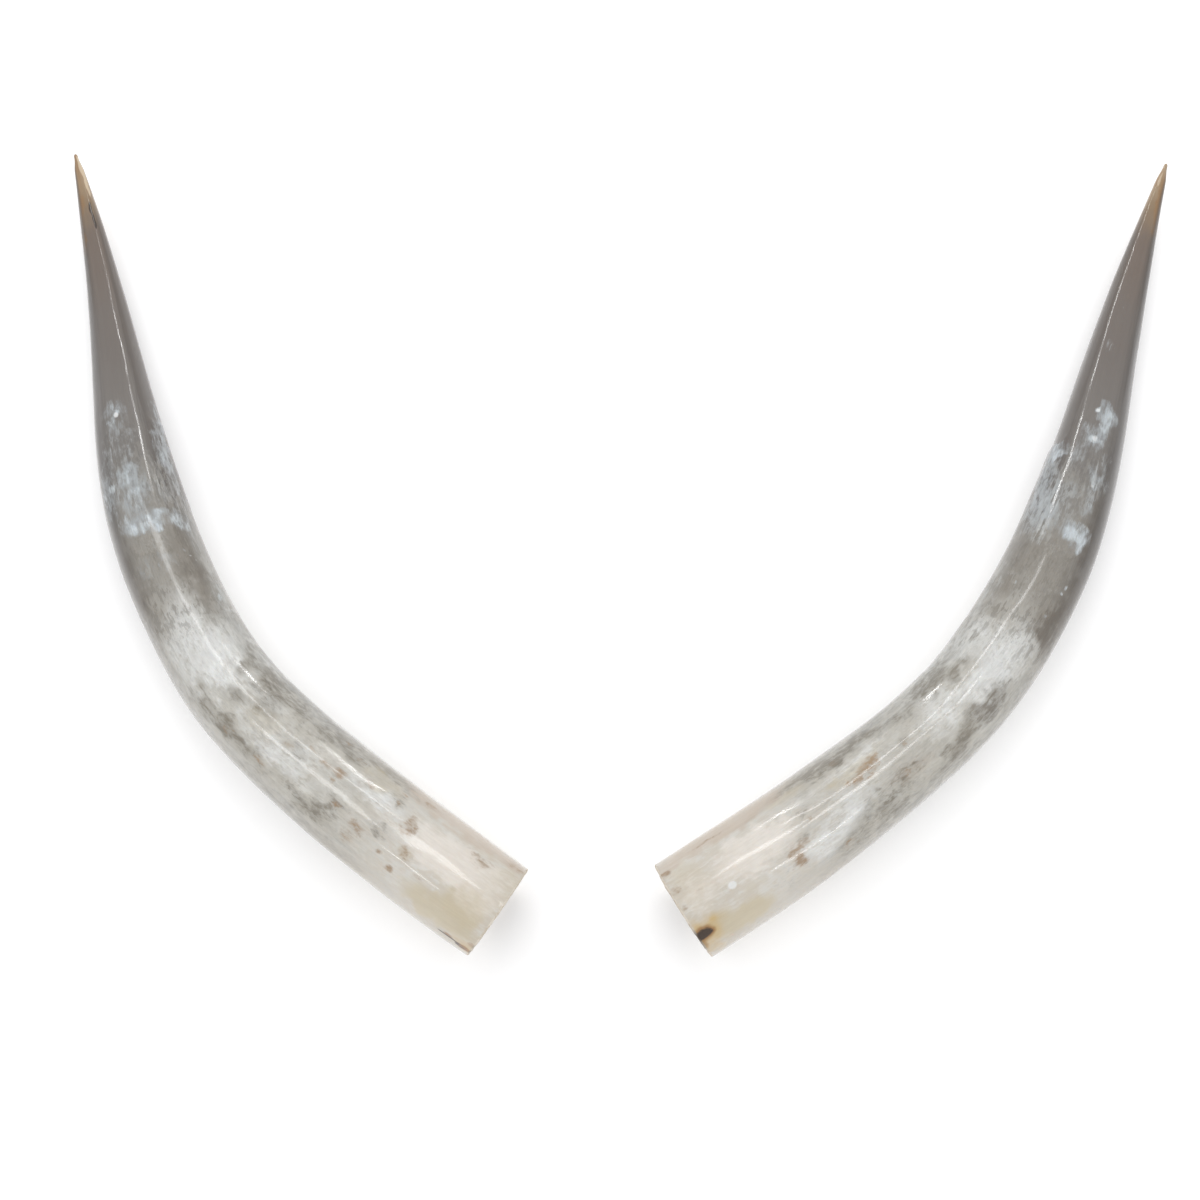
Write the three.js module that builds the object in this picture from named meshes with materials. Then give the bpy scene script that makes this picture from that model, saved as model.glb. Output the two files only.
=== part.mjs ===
// A pair of polished cow horns, lying on their sides on a flat surface with their sawn ends facing each other.
// Units are millimetres, +Z is up and the surface is Z = 0. +X runs from the left tip to the right tip, and
// +Y runs from the sawn ends to the tips. The origin is the middle of the pair's footprint, on the surface.
import * as THREE from 'three';
import { mergeVertices } from 'three/addons/utils/BufferGeometryUtils.js';

// Driving dimensions
// Each horn's shape as it lies, from the saw cut to the tip. A station is [x, y, radius]: the middle of the
// horn seen from above, and half its width there.
const LEFT_STATIONS = [
  [ - 99, - 346, 45.5 ],
  [ - 198, - 274, 46.5 ],
  [ - 318, - 173, 43.5 ],
  [ - 387, - 79, 40.5 ],
  [ - 435, 32, 37.5 ],
  [ - 469, 158, 25.5 ],
  [ - 495, 271, 14.5 ],
  [ - 522, 381, 3 ],
];
const RIGHT_STATIONS = [
  [ 63, - 345, 46.5 ],
  [ 169, - 276, 45.5 ],
  [ 285, - 186, 41.5 ],
  [ 359, - 98, 40 ],
  [ 414, 9, 35.5 ],
  [ 452, 122, 26.5 ],
  [ 487, 237, 15.5 ],
  [ 522, 344, 3 ],
];
const SECTION_HEIGHT = 0.96; // a section's height as a share of its width
const TIP_RISE = 30; // height of the tip's underside above the surface
const RISE_START = 0.7; // share of the length at which the underside leaves the surface
const RIM_WALL = 5; // thickness of the wall at the saw cut
const CAVITY_DEPTH = 0.68; // share of the length that the bone core's hollow takes up
const CAVITY_TAPER = 0.35; // power by which the hollow narrows to its closed end: lower is blunter
const LEFT_CUT_LEAN = 7; // degrees by which the saw cut's top overhangs its bottom
const RIGHT_CUT_LEAN = 4;

// Fineness of the surface
const SIDES = 28;
const OUTER_RINGS = 46;
const CAVITY_RINGS = 22;
const TIP_RINGS = 3;

const UP = new THREE.Vector3( 0, 0, 1 );

// The horn's middle line: its height is half a section, so the underside lies along the surface until the
// last stretch, which curls up to the tip.
function middleAt( line, share ) {

  const station = line.getPoint( share );
  const risen = Math.max( 0, ( share - RISE_START ) / ( 1 - RISE_START ) );
  return new THREE.Vector3( station.x, station.y, SECTION_HEIGHT * station.z + TIP_RISE * risen ** 2 );

}

function directionAt( line, share ) {

  const step = 0.002;
  const before = middleAt( line, Math.max( 0, share - step ) );
  const after = middleAt( line, Math.min( 1, share + step ) );
  return after.sub( before ).normalize();

}

// The horn unrolled to a straight one, as a profile for a lathe: from the hollow's closed end out to the
// saw cut, across the cut, and along the outside to the rounded tip. x is the radius and y the distance.
function straightProfile( line, length ) {

  const profile = [];
  for ( let ring = CAVITY_RINGS; ring >= 0; ring -- ) {

    const reach = Math.sin( ( ring / CAVITY_RINGS ) * Math.PI / 2 );
    const share = reach * CAVITY_DEPTH;
    const narrowing = ( 1 - reach ** 2 ) ** CAVITY_TAPER;
    const radius = ( line.getPoint( share ).z - RIM_WALL ) * narrowing;
    profile.push( new THREE.Vector2( radius, share * length ) );

  }

  for ( let ring = 0; ring <= OUTER_RINGS; ring ++ ) {

    const share = ring / OUTER_RINGS;
    profile.push( new THREE.Vector2( line.getPoint( share ).z, share * length ) );

  }

  const tipRadius = line.getPoint( 1 ).z;
  for ( let ring = 1; ring <= TIP_RINGS; ring ++ ) {

    const turn = ( ring / TIP_RINGS ) * Math.PI / 2;
    profile.push( new THREE.Vector2( tipRadius * Math.cos( turn ), length + tipRadius * Math.sin( turn ) ) );

  }

  profile[ 0 ].x = 0;
  profile[ profile.length - 1 ].x = 0;
  return profile;

}

// Bends the straight horn along its middle line. The saw cut's lean is a shear that fades out over the
// first stretch.
function bend( geometry, line, length, cutLean ) {

  const slope = Math.tan( THREE.MathUtils.degToRad( cutLean ) );
  const fadeLength = 60;
  const position = geometry.getAttribute( 'position' );
  for ( let index = 0; index < position.count; index ++ ) {

    const across = position.getX( index );
    const along = position.getY( index );
    const height = position.getZ( index ) * SECTION_HEIGHT;
    const share = THREE.MathUtils.clamp( along / length, 0, 1 );
    const direction = directionAt( line, share );
    const side = new THREE.Vector3().crossVectors( direction, UP ).normalize();
    const rise = new THREE.Vector3().crossVectors( side, direction );
    const beyond = along - share * length;
    const shear = slope * height * Math.max( 0, 1 - along / fadeLength );
    const point = middleAt( line, share );
    point.addScaledVector( side, across );
    point.addScaledVector( rise, height );
    point.addScaledVector( direction, beyond - shear );
    position.setXYZ( index, point.x, point.y, point.z );

  }

}

// Joins the lathe's seam and drops the empty triangles at its two poles, so that the surface is closed.
function closeSurface( geometry ) {

  geometry.deleteAttribute( 'normal' );
  geometry.deleteAttribute( 'uv' );
  const sameSpot = 0.001;
  const merged = mergeVertices( geometry, sameSpot );
  const corners = merged.getIndex().array;
  const kept = [];
  for ( let first = 0; first < corners.length; first += 3 ) {

    const [ a, b, c ] = corners.slice( first, first + 3 );
    if ( a !== b && b !== c && c !== a ) kept.push( a, b, c );

  }

  merged.setIndex( kept );
  merged.computeVertexNormals();
  return merged;

}

// One horn: a sheath of keratin that grew as one piece. It is hollow where the bone core was, solid towards
// the tip, sawn off at the base and polished outside.
function makeHorn( name, stations, cutLean, color ) {

  const points = stations.map( ( [ x, y, radius ] ) => new THREE.Vector3( x, y, radius ) );
  const line = new THREE.CatmullRomCurve3( points, false, 'catmullrom' );
  const length = line.getLength();
  const straight = new THREE.LatheGeometry( straightProfile( line, length ), SIDES );
  bend( straight, line, length, cutLean );
  const polished = new THREE.MeshStandardMaterial( { color, roughness: 0.18, metalness: 0 } );
  const horn = new THREE.Mesh( closeSurface( straight ), polished );
  horn.name = name;
  return horn;

}

const pair = new THREE.Group();
pair.add( makeHorn( 'horn_left', LEFT_STATIONS, LEFT_CUT_LEAN, 0x9d958a ) );
pair.add( makeHorn( 'horn_right', RIGHT_STATIONS, RIGHT_CUT_LEAN, 0xa0968b ) );

export default pair;
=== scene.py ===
import math

import bpy
import numpy as np
from mathutils import Matrix, Vector


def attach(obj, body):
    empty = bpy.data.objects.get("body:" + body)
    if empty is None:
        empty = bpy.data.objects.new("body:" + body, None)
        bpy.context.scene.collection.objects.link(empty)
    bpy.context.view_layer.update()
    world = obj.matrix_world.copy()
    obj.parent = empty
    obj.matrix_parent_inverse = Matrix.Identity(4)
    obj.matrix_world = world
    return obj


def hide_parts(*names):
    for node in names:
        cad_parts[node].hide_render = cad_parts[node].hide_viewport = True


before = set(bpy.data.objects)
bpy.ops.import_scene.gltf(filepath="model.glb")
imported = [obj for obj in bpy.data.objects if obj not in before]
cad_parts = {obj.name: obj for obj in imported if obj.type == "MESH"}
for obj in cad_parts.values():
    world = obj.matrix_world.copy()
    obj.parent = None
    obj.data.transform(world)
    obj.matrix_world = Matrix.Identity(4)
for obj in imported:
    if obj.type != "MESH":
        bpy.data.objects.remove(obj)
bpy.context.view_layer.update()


# The camera.
# It stands about 1.6 m above the surface and a little towards the sawn ends, and looks down at a point
# between the horns. The picture's up is the way that the tips point.
CAMERA_PLACE = Vector((0.078, -0.395, 1.635))
CAMERA_AIM = Vector((-0.012, -0.059, 0.0))
FOCAL_LENGTH = 54.0
FILM_WIDTH = 36.0

camera_data = bpy.data.cameras.new("camera")
camera_data.lens = FOCAL_LENGTH
camera_data.sensor_width = FILM_WIDTH
camera_data.sensor_fit = "HORIZONTAL"
camera_data.clip_end = 50
camera = bpy.data.objects.new("camera", camera_data)
bpy.context.scene.collection.objects.link(camera)
look_back = (CAMERA_PLACE - CAMERA_AIM).normalized()
look_right = Vector((0, 1, 0)).cross(look_back).normalized()
look_up = look_back.cross(look_right)
turned = Matrix((look_right, look_up, look_back)).transposed().to_4x4()
camera.matrix_world = Matrix.Translation(CAMERA_PLACE) @ turned
bpy.context.scene.camera = camera


# The left horn.
# A cow's horn: a sheath of keratin that grew as one piece round a core of bone, in long fibres from the base
# to the tip. The core is out, the base is sawn off square, and the outside is scraped, sanded and buffed to a
# high gloss, which leaves faint lengthwise flats and ripples under the shine.

# Middle of the horn seen from above, and half its width, from the saw cut to the tip, in metres.
LEFT_STATIONS = [
    (-0.099, -0.346, 0.0455),
    (-0.198, -0.274, 0.0465),
    (-0.318, -0.173, 0.0435),
    (-0.387, -0.079, 0.0405),
    (-0.435, 0.032, 0.0375),
    (-0.469, 0.158, 0.0255),
    (-0.495, 0.271, 0.0145),
    (-0.522, 0.381, 0.003),
]
LEFT_CUT_LEAN = math.radians(7)
LEFT_SEED = 11

# Shares, such as of the section's width, or of the way along the horn from the cut to the tip.
SECTION_HEIGHT = 0.96
RISE_START = 0.7
CAVITY_DEPTH = 0.68
CAVITY_TAPER = 0.35
DRAWN_IN_FROM = 0.982
DRAWN_IN_BY = 0.38
SKIN_LEFT_AT_CUT = 0.15
GROOVE_CHANGE_ALONG = 0.12

# Lengths in metres. The rim's rings run from the hollow's edge to the outside, each so far in from it.
TIP_RISE = 0.030
RIM_WALL = 0.005
LEAN_FADE = 0.060
RIM_ROUNDING = 0.0008
RIM_INSETS = (0.0042, 0.0028, 0.0015, RIM_ROUNDING, RIM_ROUNDING * 0.3)
RIM_DROPS = (0, 0, 0, 0, RIM_ROUNDING * 0.3)
SKIN_FADE_AT_TIP = 0.05
SKIN_FADE_AT_CUT = 0.004
SAW_ROUGHNESS = 0.00025
GROOVE_HEIGHT = 0.0009
GROOVE_WIDTH = 0.007
HOLLOW_LUMP_HEIGHT = 0.0012
HOLLOW_LUMP_WIDTH = 0.03
CENTRE_RADIUS = 0.0001
# One radius for the fibres' noise all along the horn, so that they don't narrow towards its tip.
FIBRE_RADIUS = 0.045

# The worked flats: how many go round the horn, and how deep each is against the radius there.
SKIN_FLATS = [
    (3, 0.0045), (5, 0.0042), (7, 0.0038), (10, 0.0026), (13, 0.0018), (17, 0.0011), (23, 0.0006),
]
# The lumps and ripples that the hand tools leave: how high and how wide they are.
SKIN_LUMPS = [(0.00026, 0.055), (0.00007, 0.018), (0.000022, 0.0075)]
# How much of a chip each of the rim's outer rings takes.
CHIP_SHARES = (0.3, 0.6, 1.0, 1.0)

# Rings of points: the hollow's from its bottom, then the rim's, then the skin's, then the rounded point's.
LINE_SAMPLES = 4001
ROUND_STEPS = 168
SKIN_RINGS = 480
CAVITY_RINGS = 60
POINT_RINGS = 12
FIRST_RIM = CAVITY_RINGS
FIRST_SKIN = FIRST_RIM + len(RIM_INSETS)
BUFFED, SAWN, BARE = range(3)

# Large odd numbers that scramble a grid corner's place into a value with no pattern.
SCRAMBLE_X = 374761393
SCRAMBLE_Y = 668265263
SCRAMBLE_Z = 1442695041
SCRAMBLE_AGAIN = 1274126177
SEED_STEP = 97531
LOW_BITS = 0xFFFFFFFF
# Moves every place to where a grid's corners count upwards from 0.
GRID_SHIFT = 1000.0
LUMP_GAIN = 1.6


def bent_line(stations, shares):
    """A smooth line through the stations, as a batten bends through pegs, read at shares of its length."""
    pegs = np.array(stations)
    last = len(pegs) - 1
    pull = np.eye(last + 1)
    load = np.zeros_like(pegs)
    for peg in range(1, last):
        pull[peg, peg - 1:peg + 2] = (1, 4, 1)
        load[peg] = 6 * (pegs[peg + 1] - 2 * pegs[peg] + pegs[peg - 1])
    bend = np.linalg.solve(pull, load)
    reach = shares * last
    before = np.clip(np.floor(reach).astype(int), 0, last - 1)
    near = (reach - before)[:, None]
    far = 1 - near
    straight = far * pegs[before] + near * pegs[before + 1]
    return straight + ((far ** 3 - far) * bend[before] + (near ** 3 - near) * bend[before + 1]) / 6


def lumps(places, size, seed):
    """Soft random lumps of about that size, from -1 to 1, at an array of places."""
    scaled = places / size + GRID_SHIFT
    cell = np.floor(scaled).astype(np.int64)
    inside = scaled - cell
    ease = inside ** 3 * (inside * (inside * 6 - 15) + 10)
    total = np.zeros(places.shape[:-1])
    for dx in (0, 1):
        for dy in (0, 1):
            for dz in (0, 1):
                mixed = (cell[..., 0] + dx) * SCRAMBLE_X + (cell[..., 1] + dy) * SCRAMBLE_Y
                mixed = (mixed + (cell[..., 2] + dz) * SCRAMBLE_Z + seed * SEED_STEP) & LOW_BITS
                mixed = ((mixed ^ (mixed >> 13)) * SCRAMBLE_AGAIN) & LOW_BITS
                value = ((mixed ^ (mixed >> 16)) & 0xFFFF) / 32767.5 - 1
                weight = np.abs(1 - dx - ease[..., 0]) * np.abs(1 - dy - ease[..., 1])
                total += value * weight * np.abs(1 - dz - ease[..., 2])
    return total * LUMP_GAIN


def fade(low, high, value):
    """0 below low, 1 above high, and a smooth slope between."""
    rise = np.clip((value - low) / (high - low), 0, 1)
    return rise * rise * (3 - 2 * rise)


def worked_skin(along, turn, radius, seed):
    """How far the worked outside stands off a true round, in metres: lengthwise flats, lumps and ripples."""
    line = np.stack([0 * along, 0 * along, along], -1)
    height = np.zeros(along.shape)
    for waves, depth in SKIN_FLATS:
        drift = 1.9 * lumps(line, 0.21, seed + waves) + 0.5 * lumps(line, 0.06, seed + 50 + waves)
        strength = 0.55 + 0.45 * lumps(line, 0.13, seed + 80 + waves)
        height += depth * strength * np.cos(waves * turn + waves * 1.7 + seed + drift * 1.3)
    height *= radius
    place = np.stack([radius * np.sin(turn), radius * np.cos(turn), along * 0.6], -1)
    for step, (depth, size) in enumerate(SKIN_LUMPS, 1):
        height += depth * lumps(place, size, seed + step)
    return height


def read_line(points, places, at):
    """A line's points, given at rising places along it, read at other places between them."""
    return np.stack([np.interp(at, places, points[:, axis]) for axis in range(3)], -1)


def closed_mesh(name, spots, bottom, tip, flipped):
    """An object with one closed mesh: rings of four-sided panels, and a fan of triangles at each end."""
    rings = len(spots)
    corner = np.arange(rings * ROUND_STEPS).reshape(rings, ROUND_STEPS)
    following = np.roll(corner, -1, 1)
    panels = np.stack([corner[:-1], following[:-1], following[1:], corner[1:]], -1).reshape(-1, 4)
    if flipped:
        panels = panels[:, ::-1]
    bottom_index = rings * ROUND_STEPS
    tip_index = bottom_index + 1
    fans = []
    for step in range(ROUND_STEPS):
        after = (step + 1) % ROUND_STEPS
        inner_fan = [bottom_index, int(corner[0, after]), int(corner[0, step])]
        outer_fan = [tip_index, int(corner[-1, step]), int(corner[-1, after])]
        fans += [inner_fan[::-1], outer_fan[::-1]] if flipped else [inner_fan, outer_fan]
    mesh = bpy.data.meshes.new(name)
    points = np.concatenate([spots.reshape(-1, 3), [bottom, tip]])
    mesh.from_pydata(points.tolist(), [], panels.tolist() + fans)
    panel_finish = np.full(len(panels), BUFFED)
    ring_of_panel = np.arange(rings - 1).repeat(ROUND_STEPS)
    panel_finish[ring_of_panel < FIRST_SKIN] = SAWN
    panel_finish[ring_of_panel < FIRST_RIM - 1] = BARE
    finish = np.append(panel_finish, [BARE, BUFFED] * ROUND_STEPS)
    mesh.polygons.foreach_set("material_index", finish.astype(np.int32))
    mesh.polygons.foreach_set("use_smooth", np.ones(len(finish), bool))
    mesh.update()
    mesh.validate()
    thing = bpy.data.objects.new(name, mesh)
    bpy.context.scene.collection.objects.link(thing)
    return thing


def grow_horn(name, stations, bend_side, cut_lean, seed, raised, chips):
    """The horn, and where each point of it is: along from the cut, and round from the crown.
    A raised step is (mm from the cut, degrees from the crown, length mm, degrees wide, height mm, sharpness),
    and a chip in the rim is (degrees from the crown, degrees wide, depth mm)."""
    # Each ring's share of the way to the tip, its radius, and how far it stands beyond that share.
    skin = np.arange(1, SKIN_RINGS + 1) / SKIN_RINGS
    deep = np.sin((1 - np.arange(1, CAVITY_RINGS + 1) / CAVITY_RINGS) * math.pi / 2)
    point = np.arange(1, POINT_RINGS) / POINT_RINGS * math.pi / 2
    base_radius = stations[0][2]
    tip_radius = stations[-1][2]
    cavity_radius = bent_line(stations, deep * CAVITY_DEPTH)[:, 2] - RIM_WALL
    cavity_radius *= (1 - deep ** 2) ** CAVITY_TAPER
    rim_radius = base_radius - np.array(RIM_INSETS)
    skin_radius = bent_line(stations, skin)[:, 2]
    share = np.concatenate([deep * CAVITY_DEPTH, np.zeros(len(RIM_INSETS)), skin, np.ones(len(point))])
    radius = np.concatenate([cavity_radius, rim_radius, skin_radius, tip_radius * np.cos(point)])
    beyond = np.concatenate([0 * deep, RIM_DROPS, 0 * skin, tip_radius * np.sin(point)])
    radius *= 1 - DRAWN_IN_BY * fade(DRAWN_IN_FROM, 1.0, share)

    # The middle line, and the ways forward, in towards the inside of the bend, and up, at each ring.
    fine = np.linspace(0, 1, LINE_SAMPLES)
    peg_line = bent_line(stations, fine)
    risen = np.maximum(0, (fine - RISE_START) / (1 - RISE_START))
    middle = np.column_stack([peg_line[:, :2], SECTION_HEIGHT * peg_line[:, 2] + TIP_RISE * risen ** 2])
    heading = np.gradient(middle, axis=0)
    steps = np.linalg.norm(np.diff(middle, axis=0), axis=1)
    walked = np.concatenate([[0], np.cumsum(steps)])
    heading /= np.linalg.norm(heading, axis=1)[:, None]
    centre = read_line(middle, fine, share)
    forward = read_line(heading, fine, share)
    forward /= np.linalg.norm(forward, axis=1)[:, None]
    inward = np.cross(forward, (0, 0, 1)) * bend_side
    inward /= np.linalg.norm(inward, axis=1)[:, None]
    upward = np.cross(inward * bend_side, forward)
    length = walked[-1]
    along_ring = np.interp(share, fine, walked) + beyond

    # How far each point stands off a true round: the worked skin, the raised steps and the hollow's grooves.
    turn = np.linspace(0, 2 * math.pi, ROUND_STEPS, endpoint=False)[None, :]
    along = np.repeat(along_ring[:, None], ROUND_STEPS, 1)
    round_about = np.repeat((turn + math.pi) % (2 * math.pi) - math.pi, len(share), 0)
    size = np.repeat(radius[:, None], ROUND_STEPS, 1)
    standing = worked_skin(along, round_about, size, seed) * fade(length, length - SKIN_FADE_AT_TIP, along)
    standing *= fade(0.0, SKIN_FADE_AT_CUT, along) * (1 - SKIN_LEFT_AT_CUT) + SKIN_LEFT_AT_CUT
    place = np.stack([size * np.sin(round_about), size * np.cos(round_about), along], -1)
    for start, angle, run, spread, height, edge in raised:
        off = (start - along * 1000 + 7 * lumps(place * (1, 1, 0), 0.012, seed + 31)) / run
        around = (np.degrees(round_about) - angle + 180) % 360 - 180
        window = fade(1, 0.35, np.abs(around) / spread)
        standing += height / 1000 * window * fade(-edge, 0, off) * fade(1, 0.2, off)
    hollow = GROOVE_HEIGHT * lumps(place * (1, 1, GROOVE_CHANGE_ALONG), GROOVE_WIDTH, seed + 7)
    hollow += HOLLOW_LUMP_HEIGHT * lumps(place, HOLLOW_LUMP_WIDTH, seed + 8)
    standing[:FIRST_RIM] = hollow[:FIRST_RIM] * fade(0, 0.02, size[:FIRST_RIM])
    standing[FIRST_RIM:FIRST_SKIN] *= 0.5
    width = size + standing
    height = width * np.cos(round_about) * SECTION_HEIGHT

    # The saw cut: how it leans, its roughness and the chips in the rim.
    lean = math.tan(cut_lean) * height * np.maximum(0, 1 - along / LEAN_FADE)
    lift = (beyond * (share >= 1))[:, None] - lean
    cut_face = np.stack([height * 3, width * np.sin(round_about) * 0.4, 0 * height], -1)
    saw = SAW_ROUGHNESS * lumps(cut_face, 0.004, seed + 9)
    lift[FIRST_RIM:FIRST_SKIN] += saw[FIRST_RIM:FIRST_SKIN]
    lift[FIRST_SKIN - 1] += RIM_DROPS[-1]
    for angle, wide, deep_cut in chips:
        away = np.abs((np.degrees(round_about[0]) - angle + 180) % 360 - 180) / wide
        for ring, part in enumerate(CHIP_SHARES, FIRST_RIM + 1):
            lift[ring] += deep_cut / 1000 * part * fade(1, 0.3, away)

    # The points, none of which is below the card that the horn lies on.
    spots = centre[:, None] + inward[:, None] * (width * np.sin(round_about))[..., None]
    spots += upward[:, None] * height[..., None] + forward[:, None] * lift[..., None]
    spots[..., 2] = np.maximum(spots[..., 2], 0)
    bottom = read_line(middle, fine, [CAVITY_DEPTH])[0]
    tip = read_line(middle, fine, [1.0])[0] + forward[-1] * tip_radius
    horn = closed_mesh(name, spots, bottom, tip, bend_side > 0)
    where = {
        "along": np.append(along.ravel(), [CAVITY_DEPTH * length, length]),
        "turn": np.append(round_about.ravel(), [0, 0]),
        "radius": np.append(size.ravel(), [CENTRE_RADIUS, CENTRE_RADIUS]),
        "length": length,
    }
    return horn, where


def keep(horn, name, values):
    """Stores one value, or one vector, for each point of the mesh, for the material to read."""
    shape = "FLOAT" if values.ndim == 1 else "FLOAT_VECTOR"
    store = horn.data.attributes.new(name, shape, "POINT")
    store.data.foreach_set("value" if values.ndim == 1 else "vector", values.astype(np.float32).ravel())


# How each kind of mark fades out, against half its size: where it ends, where it is full, and how ragged
# that edge is. The kinds that aren't named here have the plain edge.
PLAIN_EDGE = (1.25, 0.45, 0.30)
MARK_EDGES = {
    "cloud": (1.65, 0.05, 0.30),
    "brown": (1.65, 0.05, 0.30),
    "umber": (1.65, 0.05, 0.30),
    "pale_side": (1.65, 0.05, 0.30),
    "scorch": (1.65, 0.05, 0.30),
    "mottle": (1.45, 0.20, 0.30),
    "rust": (1.45, 0.20, 0.30),
    "burn": (1.25, 0.45, 0.12),
    "pale_dot": (1.25, 0.45, 0.0),
}
MOST_RAGGED_MM = 8


def lay_marks(horn, where, seed, marks):
    """Grown marks in the keratin. A mark is (mm from the cut, degrees from the crown towards the inside of
    the bend, length mm, width mm, strength), and each kind's marks make one soft-edged mask."""
    along = where["along"] * 1000
    turn = where["turn"]
    radius = where["radius"]
    unrolled = np.stack([FIBRE_RADIUS * np.sin(turn), FIBRE_RADIUS * np.cos(turn), where["along"]], -1)
    true_size = np.stack([radius * np.sin(turn), radius * np.cos(turn), where["along"]], -1)
    keep(horn, "fibre_place", unrolled)
    keep(horn, "true_place", true_size)
    keep(horn, "towards_tip", where["along"] / where["length"])
    keep(horn, "crown", np.cos(turn))
    keep(horn, "inside_bend", np.sin(turn))
    wander_along = lumps(true_size, 0.016, seed + 11) + 0.6 * lumps(true_size, 0.006, seed + 12)
    wander_round = lumps(true_size, 0.013, seed + 13) + 0.6 * lumps(true_size, 0.005, seed + 14)
    for kind, spots in marks.items():
        clear = np.ones(len(along))
        outer, inner, jagged = MARK_EDGES.get(kind, PLAIN_EDGE)
        for start, angle, length, width, strength in spots:
            off_along = (along - start) / (length / 2)
            degrees_off = (np.degrees(turn) - angle + 180) % 360 - 180
            off_round = np.radians(degrees_off) * radius * 1000 / (width / 2)
            off_along = off_along + min(jagged, MOST_RAGGED_MM / length) * wander_along
            off_round = off_round + min(jagged, MOST_RAGGED_MM / width) * wander_round
            clear *= 1 - strength * fade(outer, inner, np.hypot(off_along, off_round))
        keep(horn, kind, 1 - clear)


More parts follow.
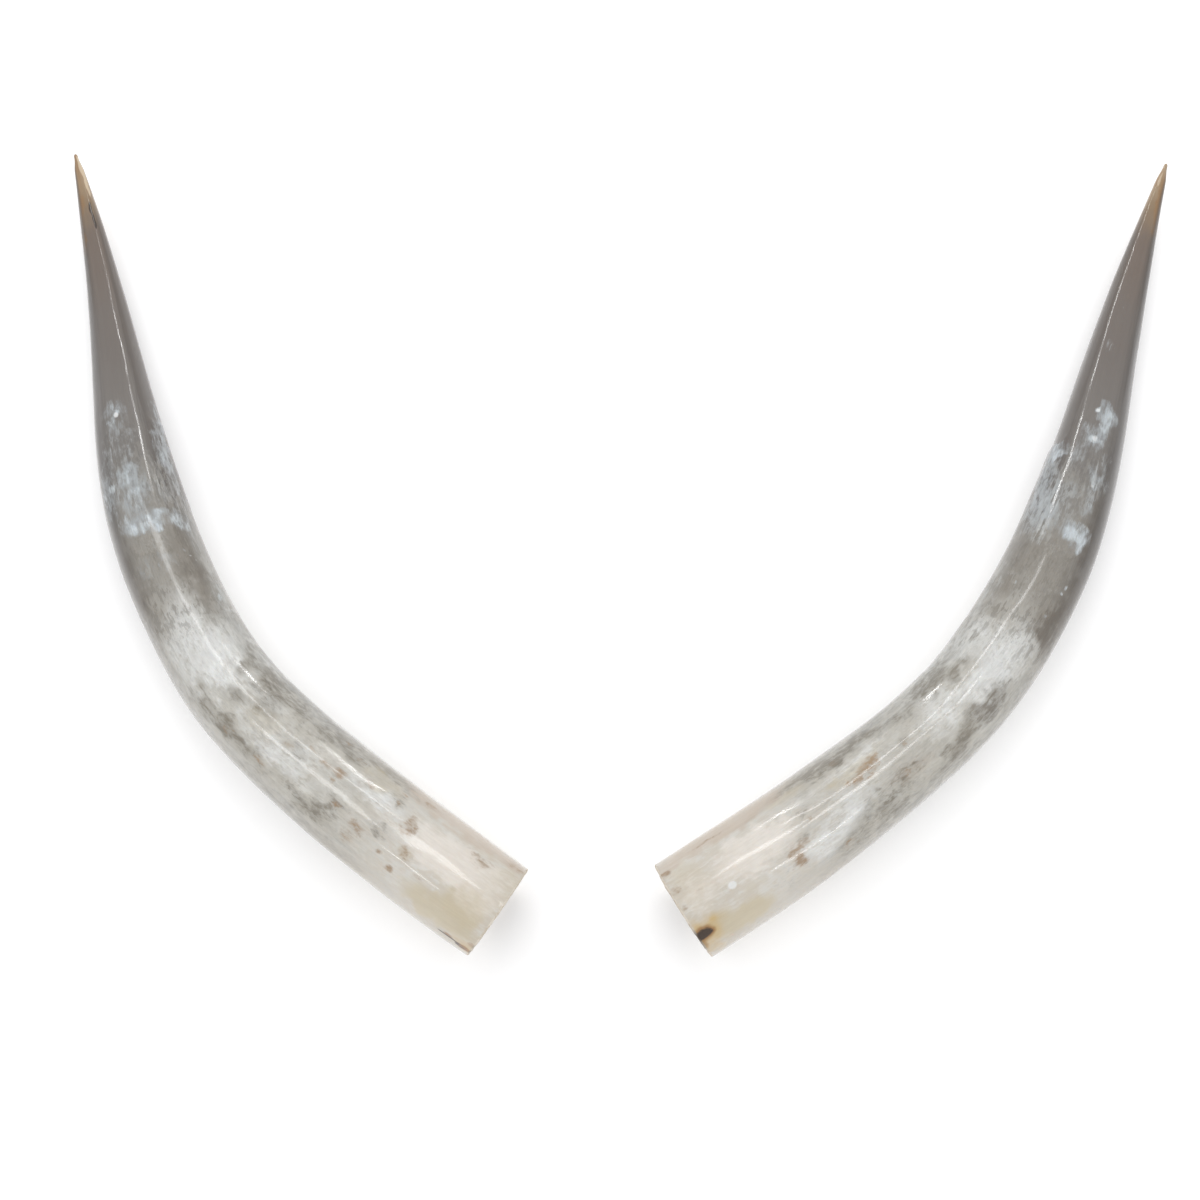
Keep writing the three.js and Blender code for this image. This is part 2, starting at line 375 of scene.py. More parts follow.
LEFT_RAISED = [
    (585, 74, 60, 26, 0.7, 0.08),
    (405, 68, 50, 24, 0.7, 0.10),
    (372, 72, 46, 24, 0.8, 0.10),
    (332, 74, 50, 22, 0.9, 0.10),
    (276, 76, 60, 18, 0.8, 0.08),
]
LEFT_CHIPS = [(-66, 7, 0.9), (-52, 4, 0.5), (-20, 3, 0.3), (24, 4, 0.3), (58, 5, 0.5), (70, 3, 0.6)]
LEFT_MARKS = {
    "cloud": [
        (350, 2, 100, 62, 0.9), (326, 14, 70, 44, 0.7), (352, -36, 70, 30, 0.35), (372, 56, 60, 24, 0.55),
        (250, -12, 70, 34, 0.45), (215, -8, 50, 30, 0.5), (400, 4, 60, 40, 0.45), (270, 30, 40, 24, 0.45),
        (135, 22, 60, 26, 0.5), (150, 30, 50, 20, 0.4), (232, 62, 70, 20, 0.5), (310, 68, 50, 20, 0.7),
    ],
    "mottle": [
        (286, 46, 54, 34, 1.0), (296, 2, 22, 22, 0.95), (272, 18, 26, 18, 0.9), (248, 46, 30, 24, 0.6),
        (318, 46, 18, 26, 0.85), (336, 62, 26, 22, 0.5), (330, 78, 60, 16, 0.4), (280, -33, 44, 24, 0.9),
        (248, -35, 40, 22, 0.7), (188, -36, 60, 24, 0.65), (170, -30, 20, 18, 0.5), (205, 58, 46, 20, 0.7),
        (178, 48, 40, 18, 0.55), (160, -12, 26, 16, 0.6), (172, -7, 14, 10, 0.7), (118, -3, 26, 16, 0.6),
        (214, 0, 20, 14, 0.55), (228, 6, 18, 12, 0.5), (124, 38, 24, 18, 0.6), (200, 74, 120, 16, 0.6),
        (317, -38, 50, 22, 0.6), (228, 40, 50, 22, 0.5), (140, 62, 70, 20, 0.45), (100, 58, 22, 10, 0.7),
    ],
    "brown": [
        (440, 0, 110, 110, 0.62), (418, 42, 90, 30, 0.95), (440, 34, 40, 22, 0.8), (392, 42, 50, 18, 0.7),
        (438, -46, 110, 30, 0.9), (462, 50, 40, 26, 0.8), (505, 55, 60, 26, 0.4), (390, -70, 120, 40, 0.5),
    ],
    "grey_fibre": [
        (560, 68, 110, 26, 0.9), (515, 60, 70, 40, 0.9), (478, 62, 50, 30, 0.6), (330, 76, 110, 24, 0.6),
        (372, 62, 60, 18, 0.6), (240, 74, 120, 22, 0.7), (512, 0, 50, 60, 0.25), (400, 66, 60, 20, 0.7),
        (520, -56, 60, 16, 0.5), (455, 66, 60, 26, 0.5),
    ],
    "fleck": [
        (596, -3, 9, 8, 1.0), (607, -6, 14, 7, 0.5), (591, -14, 11, 13, 0.6), (530, -3, 20, 15, 0.55),
        (506, 6, 24, 16, 0.45), (526, -31, 12, 9, 0.8), (519, -52, 18, 8, 0.6), (491, -20, 16, 7, 0.75),
        (480, -14, 15, 9, 0.8), (479, 0, 13, 10, 0.85), (482, 10, 16, 9, 0.85), (477, 20, 16, 10, 0.8),
        (487, 26, 10, 8, 0.7), (478, 48, 15, 12, 0.6), (473, 63, 14, 9, 0.6), (560, -22, 34, 5, 0.25),
        (556, 6, 14, 8, 0.25), (568, 66, 16, 5, 0.5), (583, 72, 16, 5, 0.5), (548, 60, 12, 6, 0.4),
        (392, 62, 12, 8, 0.7), (448, 40, 5, 3, 0.6), (498, -35, 20, 8, 0.4), (512, -8, 12, 6, 0.4),
    ],
    "rust": [
        (178, 17, 16, 9, 0.9), (180, 8, 6, 6, 0.9), (194, 16, 16, 7, 0.6), (164, -11, 12, 8, 0.6),
        (134, -18, 20, 12, 0.7), (111, -22, 8, 7, 1.0), (95, -30, 10, 9, 1.0), (122, 33, 8, 6, 0.7),
        (100, 60, 12, 6, 0.8), (101, 18, 14, 20, 0.8), (89, -7, 18, 14, 0.6), (40, 36, 30, 14, 0.55),
        (175, 47, 16, 8, 0.5), (193, 57, 10, 7, 0.5), (228, 5, 14, 8, 0.4), (240, -33, 14, 9, 0.45),
        (279, -32, 16, 10, 0.4), (29, 66, 8, 4, 0.5), (124, 48, 12, 6, 0.5), (213, 20, 12, 6, 0.4),
        (10, 62, 30, 14, 0.6), (70, -20, 10, 8, 0.4), (152, 30, 14, 10, 0.5), (140, -30, 14, 12, 0.5),
    ],
    "ochre": [
        (28, -14, 52, 40, 0.9), (40, -40, 90, 36, 0.8), (14, 30, 30, 60, 0.4), (89, -6, 18, 14, 0.5),
        (262, 4, 60, 26, 0.35), (148, 44, 50, 26, 0.45),
    ],
    # Paler patches near the crown: partly the horn's own colour, partly painted highlight.
    "cream_and_highlight": [(60, 18, 90, 44, 1.0), (20, 10, 40, 60, 0.6), (200, 25, 60, 20, 0.3)],
    "pale_side": [(332, 60, 70, 44, 0.8)],
    "pale_dot": [(596, -3, 7, 6, 0.8), (441, 46, 4, 4, 0.5), (436, 52, 3, 3, 0.5)],
    "tan_edge": [(60, 66, 150, 34, 0.9), (10, 70, 40, 30, 0.8)],
    "dark_line": [
        (24, -62, 34, 2.4, 1.0), (12, -66, 14, 3.4, 0.9), (824, 28, 16, 3.4, 1.0), (811, 32, 26, 3.0, 1.0),
    ],
    "amber": [
        (858, 0, 46, 30, 0.35), (826, -45, 40, 12, 0.8), (797, -60, 46, 12, 0.95), (870, 0, 30, 20, 0.4),
    ],
    "pale_streak": [(852, 50, 44, 3.6, 1.0), (866, 30, 20, 3, 0.7)],
    "burn": [(8, -64, 18, 9, 0.75), (24, -60, 12, 5, 0.6), (4, -50, 8, 8, 0.4)],
    "scorch": [(8, -60, 34, 16, 0.6)],
    "umber": [
        (440, -52, 110, 20, 0.8), (600, -50, 90, 12, 0.7), (420, 44, 44, 24, 0.6), (535, -46, 60, 12, 0.6),
        (286, 46, 30, 18, 0.4),
    ],
    "haze": [
        (602, -8, 36, 26, 0.6), (530, -3, 28, 24, 0.95), (506, 4, 36, 34, 0.75), (522, -42, 34, 22, 0.6),
        (483, -6, 20, 40, 0.95), (481, 16, 22, 30, 1.0), (478, 54, 22, 30, 0.7), (562, 60, 60, 20, 0.7),
        (536, 68, 60, 16, 0.6), (565, -4, 50, 40, 0.4), (506, -12, 70, 60, 0.45), (545, -36, 50, 24, 0.4),
        (590, 76, 50, 14, 0.6), (440, 0, 30, 44, 0.35),
    ],
}


# The ground colour, from the cut to the tip.
GROUND_COLOURS = [
    (0.00, (0.60, 0.545, 0.46)),
    (0.10, (0.63, 0.59, 0.525)),
    (0.18, (0.54, 0.515, 0.46)),
    (0.34, (0.51, 0.49, 0.44)),
    (0.46, (0.42, 0.40, 0.36)),
    (0.56, (0.29, 0.275, 0.25)),
    (0.63, (0.200, 0.187, 0.173)),
    (0.78, (0.172, 0.150, 0.135)),
    (0.90, (0.176, 0.136, 0.110)),
    (0.955, (0.28, 0.195, 0.115)),
    (1.00, (0.42, 0.31, 0.20)),
]
# Each kind of mark: its colour, how far noise breaks up its edge, where that edge goes from none to full, and
# how strongly the mark covers what is under it.
MARK_LOOKS = {
    "cloud": ((0.79, 0.80, 0.79), 3.2, 0.0, 1.2, 0.88),
    "brown": ((0.190, 0.166, 0.135), 3.2, 0.0, 1.25, 0.92),
    "pale_side": ((0.70, 0.705, 0.68), 3.0, 0.0, 1.1, 0.62),
    "mottle": ((0.165, 0.141, 0.104), 5.0, 0.0, 1.36, 0.84),
    "ochre": ((0.56, 0.475, 0.31), 1.6, 0.1, 1.1, 0.72),
    # Paler patches near the crown: partly the horn's own colour, partly painted highlight.
    "cream_and_highlight": ((0.82, 0.765, 0.70), 1.8, 0.1, 1.1, 0.68),
    "tan_edge": ((0.52, 0.42, 0.33), 1.6, 0.1, 1.1, 0.6),
    "rust": ((0.315, 0.205, 0.115), 2.6, 0.10, 1.15, 0.84),
    "amber": ((0.30, 0.17, 0.075), 1.2, 0.05, 0.9, 0.85),
    "pale_streak": ((0.62, 0.50, 0.35), 0.5, 0.3, 0.8, 1.0),
    "umber": ((0.125, 0.103, 0.080), 2.6, 0.0, 1.1, 0.75),
    "haze": ((0.42, 0.455, 0.48), 5.0, 0.1, 1.3, 0.72),
    "fleck": ((0.60, 0.655, 0.69), 2.6, 0.15, 1.25, 0.80),
    "scorch": ((0.58, 0.40, 0.15), 0.5, 0.0, 1.0, 0.85),
    "burn": ((0.30, 0.14, 0.04), 0.5, 0.10, 0.75, 0.85),
}


def finish_named(name):
    """A new material, and the shader of its surface."""
    material = bpy.data.materials.new(name)
    material.use_nodes = True
    return material, material.node_tree.nodes["Principled BSDF"]


def reads(material, kind, output="Fac"):
    """One of the values that are kept on the mesh."""
    node = material.node_tree.nodes.new("ShaderNodeAttribute")
    node.attribute_type = "GEOMETRY"
    node.attribute_name = kind
    return node.outputs[output]


def sums(material, action, first, second):
    """Two values added, subtracted or multiplied."""
    node = material.node_tree.nodes.new("ShaderNodeMath")
    node.operation = action
    for socket, value in zip(node.inputs, (first, second)):
        if isinstance(value, (int, float)):
            socket.default_value = value
        else:
            material.node_tree.links.new(value, socket)
    return node.outputs[0]


def times(material, *values):
    result = values[0]
    for value in values[1:]:
        result = sums(material, "MULTIPLY", result, value)
    return result


def blend_of(material, first, second, share):
    """Two noises added in shares, so that large and small grains show together."""
    return sums(material, "ADD", times(material, first, 1 - share), times(material, second, share))


def ramped(material, value, low, high, bottom=0.0, top=1.0):
    """A smooth slope from bottom at low to top at high."""
    node = material.node_tree.nodes.new("ShaderNodeMapRange")
    node.interpolation_type = "SMOOTHSTEP"
    for socket, number in zip(node.inputs[1:5], (low, high, bottom, top)):
        socket.default_value = number
    material.node_tree.links.new(value, node.inputs[0])
    return node.outputs[0]


def grain(material, kind, stretch, size, detail=3.0, rough=0.55, twist=0.0, seed=0.0):
    """Noise in the horn's own measure: stretch is how much longer its grains are along the horn."""
    tree = material.node_tree
    spread = tree.nodes.new("ShaderNodeMapping")
    spread.inputs["Scale"].default_value = (1, 1, 1 / stretch)
    spread.inputs["Location"].default_value = (seed, seed * 0.7, 0)
    noise = tree.nodes.new("ShaderNodeTexNoise")
    noise.inputs["Scale"].default_value = 1 / size
    noise.inputs["Detail"].default_value = detail
    noise.inputs["Roughness"].default_value = rough
    noise.inputs["Distortion"].default_value = twist
    tree.links.new(reads(material, kind, "Vector"), spread.inputs["Vector"])
    tree.links.new(spread.outputs["Vector"], noise.inputs["Vector"])
    return noise.outputs["Fac"]


def shaded(material, value, stops):
    """A colour that runs through the stops, each a place and its colour, as the value rises."""
    node = material.node_tree.nodes.new("ShaderNodeValToRGB")
    band = node.color_ramp
    while len(band.elements) < len(stops):
        band.elements.new(0.5)
    for element, (place, colour) in zip(band.elements, stops):
        element.position = place
        element.color = (*colour, 1)
    material.node_tree.links.new(value, node.inputs[0])
    return node.outputs["Color"]


def laid_over(material, under, colour, amount):
    """A colour laid over what is under it, by an amount."""
    node = material.node_tree.nodes.new("ShaderNodeMix")
    node.data_type = "RGBA"
    material.node_tree.links.new(under, node.inputs[6])
    if isinstance(colour, tuple):
        node.inputs[7].default_value = (*colour, 1)
    else:
        material.node_tree.links.new(colour, node.inputs[7])
    if isinstance(amount, (int, float)):
        node.inputs[0].default_value = amount
    else:
        material.node_tree.links.new(amount, node.inputs[0])
    return node.outputs[2]


def broken_edge(material, kind, noise, spread, low, high):
    """A mask whose soft edge is broken up by noise, as pigment is among the fibres."""
    amount = reads(material, kind)
    shifted = times(material, sums(material, "SUBTRACT", noise, 0.5), spread)
    edge = ramped(material, sums(material, "ADD", amount, shifted), low, high)
    return times(material, edge, ramped(material, amount, 0.0, 0.30))


def marked(material, under, kind, noise):
    """One kind of mark laid over what is under it."""
    colour, spread, low, high, strength = MARK_LOOKS[kind]
    edge = broken_edge(material, kind, noise, spread, low, high)
    return laid_over(material, under, colour, times(material, edge, strength))


def dented(material, relief, strength, depth):
    """The surface's direction, disturbed by a relief so many metres deep."""
    node = material.node_tree.nodes.new("ShaderNodeBump")
    node.inputs["Strength"].default_value = strength
    node.inputs["Distance"].default_value = depth
    material.node_tree.links.new(relief, node.inputs["Height"])
    return node.outputs["Normal"]


def buffed_horn():
    """Buffed keratin: pale at the base, clouded and mottled in the middle, taupe above, amber at the point.
    Each coat of colour lies over the ones before it."""
    material, surface = finish_named("buffed_horn")
    tree = material.node_tree

    to_tip = reads(material, "towards_tip")
    inside = reads(material, "inside_bend")
    crown = reads(material, "crown")
    drift = grain(material, "true_place", 1.6, 0.030, seed=3.1)
    moved = sums(material, "ADD", to_tip, times(material, sums(material, "SUBTRACT", drift, 0.5), 0.10))
    colour = shaded(material, moved, GROUND_COLOURS)

    # Noises, from the largest clouds to single fibres.
    clouds = grain(material, "true_place", 1.5, 0.022, detail=5, rough=0.62, twist=0.8, seed=9.0)
    blotch = grain(material, "true_place", 1.7, 0.0095, detail=5, rough=0.66, twist=0.7)
    small = grain(material, "true_place", 2.2, 0.0040, detail=4, rough=0.65, twist=0.4, seed=5.0)
    felt = grain(material, "fibre_place", 3.6, 0.0034, detail=4, rough=0.65, twist=0.5, seed=2.3)
    fibres = grain(material, "fibre_place", 22, 0.0016, detail=3, rough=0.6, seed=1.3)
    strands = grain(material, "fibre_place", 13, 0.0050, detail=4, rough=0.65, seed=7.7)
    patchy = blend_of(material, blend_of(material, blotch, small, 0.45), felt, 0.35)
    fine_mist = blend_of(material, felt, small, 0.45)
    misty = blend_of(material, blend_of(material, clouds, blotch, 0.5), fine_mist, 0.5)

    # Parts of the horn's length.
    past_base = ramped(material, to_tip, 0.06, 0.20)
    lower = ramped(material, to_tip, 0.62, 0.48)
    upper = ramped(material, to_tip, 0.46, 0.62)
    middle_part = times(material, lower, past_base)
    brown_zone = times(material, ramped(material, to_tip, 0.68, 0.58), ramped(material, to_tip, 0.36, 0.46))

    # The lower half: pale and dark mist, clouds, browns, loose grey fibre and mottles, and painted shade down
    # its flanks.
    whiter = times(material, ramped(material, misty, 0.45, 0.57), lower, 0.43)
    colour = laid_over(material, colour, (0.76, 0.765, 0.745), whiter)
    darker = times(material, ramped(material, patchy, 0.47, 0.60), middle_part, 0.50)
    colour = laid_over(material, colour, (0.29, 0.265, 0.215), darker)
    colour = marked(material, colour, "cloud", misty)
    colour = marked(material, colour, "brown", misty)
    grey_fibre = broken_edge(material, "grey_fibre", strands, 2.0, 0.2, 1.0)
    dark_strands = laid_over(material, colour, (0.17, 0.163, 0.147), 0.80)
    pale_strands = ramped(material, blend_of(material, strands, felt, 0.5), 0.44, 0.60)
    strand_colour = laid_over(material, dark_strands, (0.62, 0.635, 0.63), pale_strands)
    colour = laid_over(material, colour, strand_colour, times(material, grey_fibre, 0.8))
    colour = marked(material, colour, "pale_side", misty)
    colour = marked(material, colour, "mottle", patchy)
    # Painted shade: the flanks darken away from the crown.
    painted_shade_flank = ramped(material, sums(material, "SUBTRACT", crown, times(material, strands, 0.5)), 0.62, 0.25)
    painted_shade_flank = times(material, painted_shade_flank, middle_part, ramped(material, patchy, 0.36, 0.58), 0.72)
    colour = laid_over(material, colour, (0.22, 0.208, 0.182), painted_shade_flank)

    # The base: painted shade low on its sides, with yellow, tan and rusty stains, and paler patches near the
    # crown that are partly its own colour and partly painted highlight. The amber and the pale streaks are at
    # the point.
    base_part = ramped(material, to_tip, 0.26, 0.14)
    # Painted shade: the base darkens low on its sides, away from the crown.
    painted_shade_low_side = times(material, ramped(material, crown, 0.84, 0.30), base_part, 0.40)
    colour = laid_over(material, colour, (0.40, 0.35, 0.275), painted_shade_low_side)
    for kind, noise in (
        ("ochre", misty),
        ("cream_and_highlight", misty),
        ("tan_edge", strands),
        ("rust", small),
        ("amber", strands),
        ("pale_streak", fibres),
    ):
        colour = marked(material, colour, kind, noise)

    # The upper half: painted shade in a band along the inside of the bend, worn and stained browns where the
    # clouds end, and darker painted shade along the outside.
    # Painted shade along the inside of the bend.
    painted_shade_inner_band = ramped(material, sums(material, "ADD", inside, times(material, strands, 0.3)), 0.72, 0.86)
    painted_shade_inner_band = times(material, painted_shade_inner_band, upper, ramped(material, to_tip, 0.965, 0.90), 0.66)
    colour = laid_over(material, colour, (0.092, 0.076, 0.065), painted_shade_inner_band)
    worn = times(material, ramped(material, misty, 0.485, 0.56), brown_zone, 0.42)
    colour = laid_over(material, colour, (0.50, 0.49, 0.455), worn)
    stained = times(material, ramped(material, patchy, 0.49, 0.57), brown_zone, 0.52)
    colour = laid_over(material, colour, (0.125, 0.108, 0.085), stained)
    colour = marked(material, colour, "umber", patchy)
    # Painted shade, darker, along the outside.
    outside = sums(material, "SUBTRACT", times(material, strands, 0.3), inside)
    outer_part = times(material, ramped(material, to_tip, 0.40, 0.60), ramped(material, to_tip, 1.02, 0.965))
    painted_shade_outer_band = times(material, ramped(material, outside, 0.36, 0.95), outer_part, 0.80)
    colour = laid_over(material, colour, (0.050, 0.041, 0.035), painted_shade_outer_band)

    # Pale flecks in a bluish haze, white dots, the scorched spots at the rim and thin dark lines.
    colour = marked(material, colour, "haze", misty)
    colour = marked(material, colour, "fleck", blend_of(material, small, felt, 0.4))
    dot = ramped(material, reads(material, "pale_dot"), 0.25, 0.75)
    colour = laid_over(material, colour, (0.82, 0.84, 0.84), times(material, dot, 0.75))
    colour = marked(material, colour, "scorch", small)
    colour = marked(material, colour, "burn", small)
    charred = broken_edge(material, "burn", small, 0.6, 0.66, 0.96)
    colour = laid_over(material, colour, (0.022, 0.012, 0.008), times(material, charred, 0.93))
    dark_line = ramped(material, reads(material, "dark_line"), 0.25, 0.75)
    colour = laid_over(material, colour, (0.045, 0.03, 0.022), times(material, dark_line, 0.92))

    # Fine grain in the brightness, which the smooth base and upper half lack.
    textured = times(material, ramped(material, to_tip, 0.74, 0.60), past_base)
    streaky = sums(material, "ADD", times(material, fibres, 0.14), times(material, felt, 0.38))
    streaky = times(material, sums(material, "ADD", streaky, times(material, small, 0.52)), textured)
    streaky = sums(material, "SUBTRACT", streaky, times(material, textured, 0.52))
    fibre_light = times(material, sums(material, "SUBTRACT", fibres, 0.5), 0.16)
    brightness = sums(material, "ADD", streaky, sums(material, "ADD", fibre_light, 1.0))
    shade = tree.nodes.new("ShaderNodeHueSaturation")
    tree.links.new(colour, shade.inputs["Color"])
    tree.links.new(brightness, shade.inputs["Value"])
    tree.links.new(shade.outputs["Color"], surface.inputs["Base Color"])

    # The polish: a clear shine over a duller horn, which lets a little light in.
    rough = sums(material, "ADD", times(material, grey_fibre, 0.14), times(material, small, 0.10))
    tree.links.new(sums(material, "ADD", rough, 0.36), surface.inputs["Roughness"])
    surface.inputs["IOR"].default_value = 1.54
    surface.inputs["Specular IOR Level"].default_value = 0.25
    surface.inputs["Coat Weight"].default_value = 1.0
    surface.inputs["Coat Roughness"].default_value = 0.08
    surface.inputs["Coat IOR"].default_value = 1.42
    surface.inputs["Subsurface Weight"].default_value = 0.12
    surface.inputs["Subsurface Radius"].default_value = (1.0, 0.7, 0.45)
    surface.inputs["Subsurface Scale"].default_value = 0.004
    relief = sums(material, "ADD", times(material, strands, 0.7), times(material, fibres, 0.12))
    direction = dented(material, relief, 0.11, 0.0004)
    tree.links.new(direction, surface.inputs["Normal"])
    tree.links.new(direction, surface.inputs["Coat Normal"])
    return material


def sawn_horn():
    """The saw cut: unpolished keratin with the blade's fine marks."""
    material, surface = finish_named("sawn_horn")
    tree = material.node_tree
    blade_marks = grain(material, "true_place", 1.0, 0.0012, detail=4, rough=0.7)
    patches = grain(material, "true_place", 1.0, 0.010, detail=3, seed=4)
    mixed = ramped(material, blend_of(material, blade_marks, patches, 0.5), 0.35, 0.65)
    colour = shaded(material, mixed, [(0.0, (0.52, 0.44, 0.34)), (1.0, (0.78, 0.72, 0.63))])
    colour = laid_over(material, colour, (0.05, 0.03, 0.015), reads(material, "burn"))
    tree.links.new(colour, surface.inputs["Base Color"])
    surface.inputs["Roughness"].default_value = 0.62
    tree.links.new(dented(material, blade_marks, 0.6, 0.0005), surface.inputs["Normal"])
    return material


def bare_hollow():
    """Inside, where the bone sat: dull, grooved keratin, stained brown."""
    material, surface = finish_named("bare_hollow")
    tree = material.node_tree
    grooves = grain(material, "fibre_place", 16, 0.003, detail=4, rough=0.65)
    patches = grain(material, "true_place", 1.5, 0.020, detail=3, seed=2)
    mixed = ramped(material, blend_of(material, grooves, patches, 0.45), 0.32, 0.68)
    colour = shaded(material, mixed, [(0.0, (0.20, 0.14, 0.085)), (1.0, (0.58, 0.48, 0.35))])
    tree.links.new(colour, surface.inputs["Base Color"])
    surface.inputs["Roughness"].default_value = 0.7
    tree.links.new(dented(material, grooves, 0.8, 0.001), surface.inputs["Normal"])
    return material


# In the order of BUFFED, SAWN and BARE.
horn_finishes = [buffed_horn(), sawn_horn(), bare_hollow()]
left_horn, left_where = grow_horn(
    "polished_horn_left", LEFT_STATIONS, 1, LEFT_CUT_LEAN, LEFT_SEED, LEFT_RAISED, LEFT_CHIPS)
lay_marks(left_horn, left_where, LEFT_SEED, LEFT_MARKS)
for finish in horn_finishes:
    left_horn.data.materials.append(finish)
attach(left_horn, "root")
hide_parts("horn_left")


# The right horn.
# The same animal's other horn, near a mirror image and worked the same way. It is a little shorter and
# straighter, has a step in the grown layers on the inside of the bend, and its rim is scorched at one spot.
RIGHT_STATIONS = [
    (0.063, -0.345, 0.0465),
    (0.169, -0.276, 0.0455),
    (0.285, -0.186, 0.0415),
    (0.359, -0.098, 0.0400),
    (0.414, 0.009, 0.0355),
    (0.452, 0.122, 0.0265),
    (0.487, 0.237, 0.0155),
    (0.522, 0.344, 0.003),
]
RIGHT_CUT_LEAN = math.radians(4)
RIGHT_SEED = 47
RIGHT_RAISED = [
    (562, 86, 110, 40, 1.8, 0.12),
    (540, 66, 40, 24, 0.7, 0.15),
    (372, 70, 50, 24, 0.8, 0.10),
    (300, 72, 60, 20, 0.7, 0.10),
]
RIGHT_CHIPS = [
    (52, 4, 0.8), (45, 3, 0.6), (21, 4, 0.7), (12, 3, 0.5), (1, 3, 0.4), (-36, 7, 0.6), (-60, 4, 0.4),
]
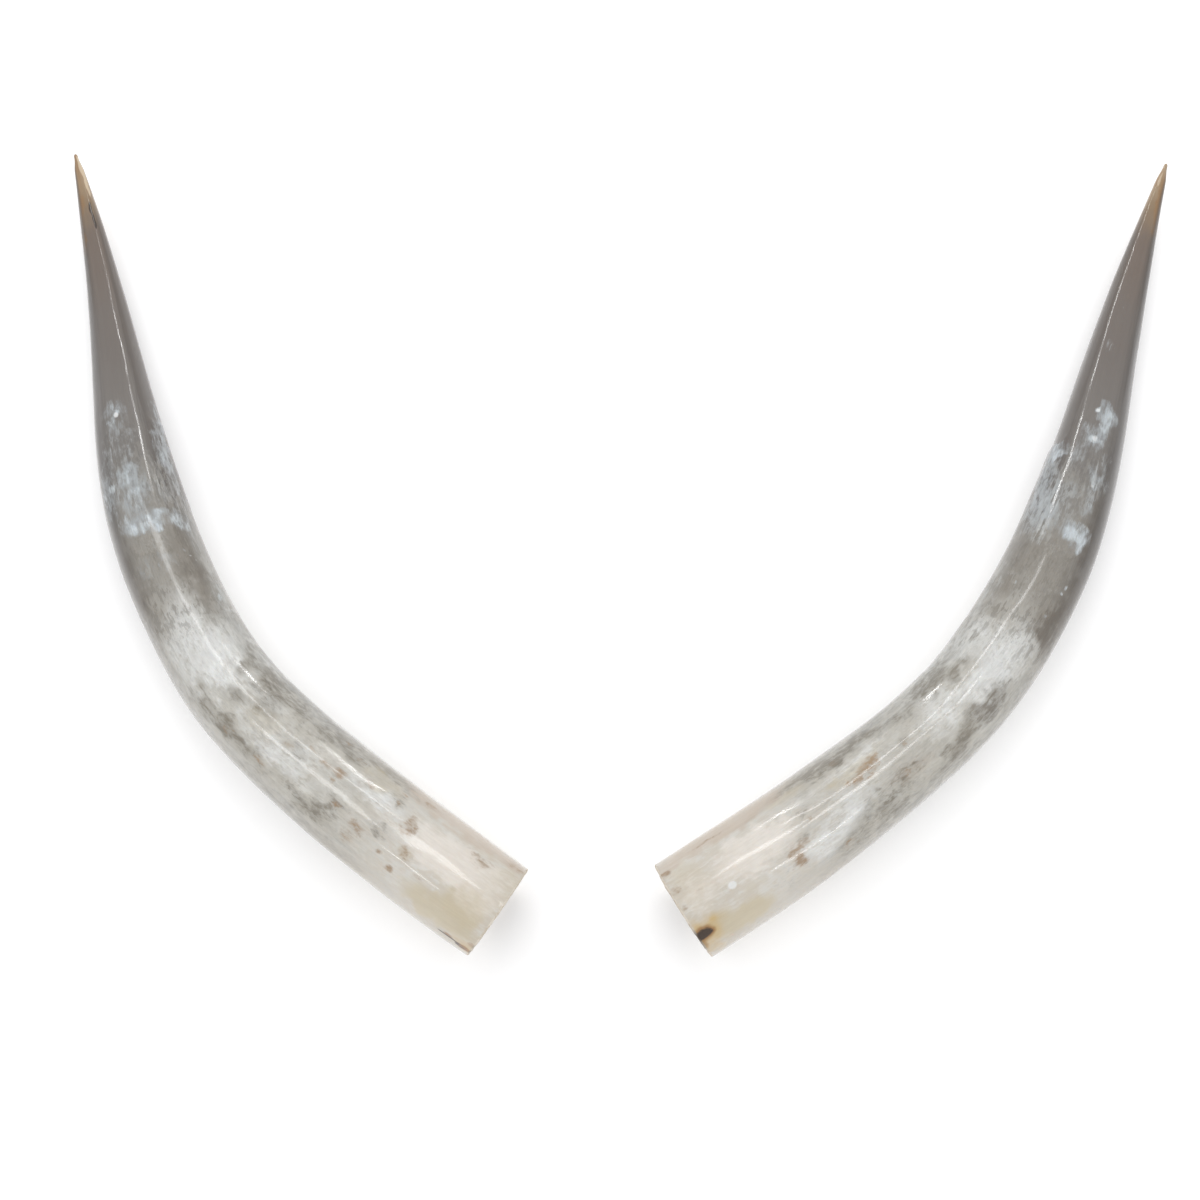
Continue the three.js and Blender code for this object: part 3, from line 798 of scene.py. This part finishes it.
RIGHT_MARKS = {
    "cloud": [
        (345, -10, 80, 46, 1.0), (318, -18, 50, 34, 0.7), (362, 42, 44, 34, 0.8), (336, 60, 40, 24, 0.8),
        (283, 8, 50, 40, 0.6), (150, -22, 60, 30, 0.7), (120, -30, 50, 30, 0.6), (205, 30, 60, 18, 0.5),
        (245, 42, 40, 22, 0.5), (380, -12, 40, 40, 0.5), (178, -12, 50, 30, 0.4),
    ],
    "mottle": [
        (304, 44, 42, 30, 0.95), (284, 50, 34, 24, 0.85), (322, 34, 26, 14, 0.8), (327, -33, 34, 26, 0.80),
        (310, -29, 36, 24, 0.75), (296, -22, 30, 20, 0.65), (278, -36, 40, 22, 0.9), (262, -46, 50, 20, 0.8),
        (262, 32, 44, 26, 0.5), (95, -36, 50, 24, 0.25), (247, 40, 24, 14, 0.7), (228, 40, 30, 18, 0.8),
        (212, 56, 30, 18, 0.9), (202, 50, 24, 12, 0.8),
        (172, 48, 40, 18, 0.9), (160, 58, 30, 16, 0.8), (138, 58, 40, 16, 0.7), (200, -32, 80, 26, 0.55),
        (148, -48, 40, 18, 0.5), (225, -20, 24, 12, 0.6), (179, -50, 60, 22, 0.5), (345, 60, 18, 20, 0.3),
        (132, 16, 18, 12, 0.5), (118, -6, 18, 12, 0.5), (355, 40, 14, 18, 0.5), (240, 12, 14, 8, 0.5),
    ],
    "brown": [
        (436, -10, 110, 110, 0.70), (432, 46, 80, 34, 0.80), (408, 50, 50, 24, 0.7),
        (440, -52, 140, 40, 0.85), (408, -44, 70, 36, 0.80), (500, -42, 70, 18, 0.9),
        (465, 20, 40, 40, 0.5), (225, -16, 90, 34, 0.35), (165, 58, 110, 34, 0.45),
    ],
    "grey_fibre": [
        (505, 66, 90, 60, 0.8), (484, 40, 50, 36, 0.7), (552, 66, 26, 30, 1.0), (350, 66, 70, 26, 0.35),
        (232, 66, 60, 20, 0.5), (530, -20, 50, 30, 0.4), (410, 66, 80, 24, 0.6),
    ],
    "fleck": [
        (602, 7, 6, 6, 1.0), (596, -14, 16, 11, 0.75), (588, -9, 13, 13, 0.75), (574, 1, 9, 9, 0.85),
        (572, -9, 8, 8, 0.6), (580, 15, 12, 8, 0.45), (479, -10, 16, 14, 0.8), (479, -24, 18, 16, 0.85),
        (490, -24, 12, 12, 0.7), (470, -27, 12, 10, 0.7), (490, -6, 10, 8, 0.5), (536, -11, 9, 9, 0.5),
        (529, -15, 9, 9, 0.55), (512, -20, 9, 9, 0.55), (671, 17, 14, 9, 0.3), (712, 10, 4, 4, 0.5),
        (553, 52, 14, 12, 0.75), (560, 62, 16, 6, 0.6), (436, -33, 6, 2.5, 0.9), (429, -31, 4, 3, 0.7),
        (403, -25, 6, 4, 0.7), (585, 22, 14, 7, 0.5), (420, 30, 4, 3, 0.5),
    ],
    "rust": [
        (104, -28, 14, 15, 1.0), (107, -14, 18, 16, 0.8), (133, 6, 6, 6, 0.9), (202, 16, 20, 14, 0.8),
        (188, 12, 22, 16, 0.7), (224, -20, 8, 6, 0.6), (240, 10, 8, 7, 0.5), (4, 46, 14, 12, 0.9),
        (4, 18, 10, 10, 0.6), (3, 0, 8, 6, 0.6), (178, 44, 16, 7, 0.4), (52, 56, 40, 5, 0.5),
        (118, -12, 10, 8, 0.4), (22, 8, 8, 5, 0.4), (150, -46, 18, 9, 0.4),
    ],
    "ochre": [
        (45, -46, 60, 30, 0.9), (20, -32, 40, 30, 0.9), (18, 20, 40, 60, 0.45), (185, 22, 80, 18, 0.5),
        (130, 44, 50, 14, 0.5), (60, -20, 30, 14, 0.4),
    ],
    # Paler patches near the crown: partly the horn's own colour, partly painted highlight.
    "cream_and_highlight": [(85, 10, 80, 44, 0.9), (60, 14, 60, 36, 0.6), (20, 4, 40, 40, 0.6)],
    "pale_side": [(330, 58, 110, 50, 0.95), (275, 60, 70, 36, 0.8)],
    "pale_dot": [(47, -7, 9, 8, 0.9), (602, 7, 5, 5, 0.75), (574, 1, 8, 7, 0.6), (529, -15, 5, 5, 0.5)],
    "tan_edge": [(70, 62, 150, 34, 1.0), (20, 62, 50, 34, 0.6), (225, -18, 70, 26, 0.35)],
    "dark_line": [(0, 30, 3, 30, 0.5)],
    "amber": [(830, -52, 50, 13, 1.0), (806, -50, 36, 10, 0.7), (850, 10, 30, 18, 0.4)],
    "pale_streak": [(850, 20, 26, 3, 0.6)],
    "burn": [(8, -35, 21, 17, 1.0), (2, -50, 10, 14, 0.45)],
    "scorch": [(11, -33, 34, 30, 0.9), (6, -58, 30, 24, 0.5)],
    "umber": [
        (440, -54, 120, 28, 0.8), (485, -52, 80, 20, 0.5), (398, -42, 50, 24, 0.7), (318, -36, 50, 20, 0.5),
    ],
    "haze": [
        (598, -15, 26, 22, 0.8), (576, -3, 30, 26, 0.75), (480, -20, 32, 32, 1.0), (534, -13, 26, 16, 0.7),
        (512, -20, 24, 14, 0.7), (556, 18, 40, 18, 0.45), (500, 14, 60, 36, 0.4), (553, 62, 34, 28, 0.95),
        (528, 62, 50, 34, 0.85), (500, 54, 60, 40, 0.8), (671, 17, 16, 10, 0.4), (545, -30, 40, 18, 0.35),
    ],
}

right_horn, right_where = grow_horn(
    "polished_horn_right", RIGHT_STATIONS, -1, RIGHT_CUT_LEAN, RIGHT_SEED, RIGHT_RAISED, RIGHT_CHIPS)
lay_marks(right_horn, right_where, RIGHT_SEED, RIGHT_MARKS)
for finish in horn_finishes:
    right_horn.data.materials.append(finish)
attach(right_horn, "root")
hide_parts("horn_right")


# The surface that the horns lie on: a plain sheet of white card.
CARD_WIDTH = 14
CARD_TOP = -0.0003

bpy.ops.mesh.primitive_plane_add(size=CARD_WIDTH, location=(0, 0, CARD_TOP))
card = bpy.context.object
card.name = "white_card"
paper, paper_surface = finish_named("white_card")
paper_surface.inputs["Base Color"].default_value = (0.90, 0.90, 0.905, 1)
paper_surface.inputs["Roughness"].default_value = 0.9
paper_surface.inputs["Specular IOR Level"].default_value = 0.2
card.data.materials.append(paper)


# The light.
# Long narrow lamps above and beyond the tips, each aimed at one horn, whose mirror images are the thin white
# lines on the polish. A white room round them gives the rest. The card has two lamps of its own, one for the
# horns' soft shadows and one that keeps it white.
ROOM_WHITE = 0.85


def lit_group(name, thing):
    group = bpy.data.collections.new(name)
    group.objects.link(thing)
    return group


def lamp(name, start, end, width, brightness, group):
    """A flat lamp from one end to the other, facing the horns, so many times as bright as plain white. It
    lights only what is in its group."""
    first = Vector(start)
    last = Vector(end)
    run = (last - first).normalized()
    middle = (first + last) / 2
    facing = middle.normalized()
    facing = (facing - run * facing.dot(run)).normalized()
    across = facing.cross(run)
    light = bpy.data.lights.new(name, "AREA")
    light.shape = "RECTANGLE"
    light.size = (last - first).length
    light.size_y = width
    light.energy = brightness * light.size * light.size_y * math.pi
    holder = bpy.data.objects.new(name, light)
    bpy.context.scene.collection.objects.link(holder)
    holder.matrix_world = Matrix.Translation(middle) @ Matrix((run, across, facing)).transposed().to_4x4()
    holder.visible_camera = False
    holder.light_linking.receiver_collection = group
    return holder


on_left = lit_group("left_horn_only", left_horn)
on_right = lit_group("right_horn_only", right_horn)
on_card = lit_group("card_only", card)

lamp("lamp_left_tip", (0.60, 1.93, 1.4), (0.86, 2.40, 1.4), 0.09, 22.0, on_left)
lamp("lamp_left_far", (0.86, 2.40, 1.4), (1.0, 2.65, 1.4), 0.09, 7.0, on_left)
lamp("lamp_left_near", (0.36, 1.50, 1.4), (0.60, 1.93, 1.4), 0.06, 14.0, on_left)
lamp("lamp_left_nearest", (0.20, 1.21, 1.4), (0.36, 1.50, 1.4), 0.05, 4.0, on_left)
lamp("lamp_left_bend", (-0.55, 0.95, 2.0), (0.1, 0.95, 2.0), 0.14, 5.5, on_left)
lamp("lamp_left_over", (-1.02, 0.10, 2.0), (-0.56, 0.10, 2.0), 0.24, 5.5, on_left)
lamp("lamp_left_base", (-0.25, 0.30, 2.0), (0.20, 0.34, 2.0), 0.17, 5.5, on_left)
lamp("lamp_left_low", (-1.35, -1.03, 2.0), (-0.95, -1.13, 2.0), 0.07, 11.0, on_left)
lamp("lamp_right_tip", (-0.95, 2.14, 1.4), (-1.16, 2.44, 1.4), 0.12, 22.0, on_right)
lamp("lamp_right_far", (-1.16, 2.44, 1.4), (-1.45, 2.85, 1.4), 0.09, 6.0, on_right)
lamp("lamp_right_near", (-0.60, 1.65, 1.4), (-0.95, 2.14, 1.4), 0.07, 14.0, on_right)
lamp("lamp_right_nearest", (-0.36, 1.32, 1.4), (-0.60, 1.65, 1.4), 0.04, 4.0, on_right)
lamp("lamp_right_bend", (-0.25, 0.95, 2.0), (0.35, 0.95, 2.0), 0.14, 7.0, on_right)
lamp("lamp_right_over", (0.38, 0.10, 2.0), (0.68, 0.10, 2.0), 0.26, 7.0, on_right)
lamp("lamp_right_base", (-0.20, 0.32, 2.0), (0.20, 0.30, 2.0), 0.16, 7.0, on_right)
lamp("lamp_right_low", (1.45, -1.05, 2.0), (1.0, -1.15, 2.0), 0.07, 11.0, on_right)
lamp("lamp_for_shadows", (-0.8, 1.7, 1.9), (0.8, 1.7, 1.9), 0.8, 3.6, on_card)

card_lamp = lamp("lamp_for_card", (-3, 0, 3.0), (3, 0, 3.0), 6.0, 0.70, on_card)
card_lamp.light_linking.blocker_collection = on_card

room = bpy.data.worlds.new("white_room")
room.use_nodes = True
room_light = room.node_tree.nodes["Background"]
room_light.inputs["Color"].default_value = (1.0, 1.0, 1.0, 1)
room_light.inputs["Strength"].default_value = ROOM_WHITE
bpy.context.scene.world = room
bpy.context.scene.view_settings.view_transform = "Standard"
bpy.context.scene.view_settings.look = "None"
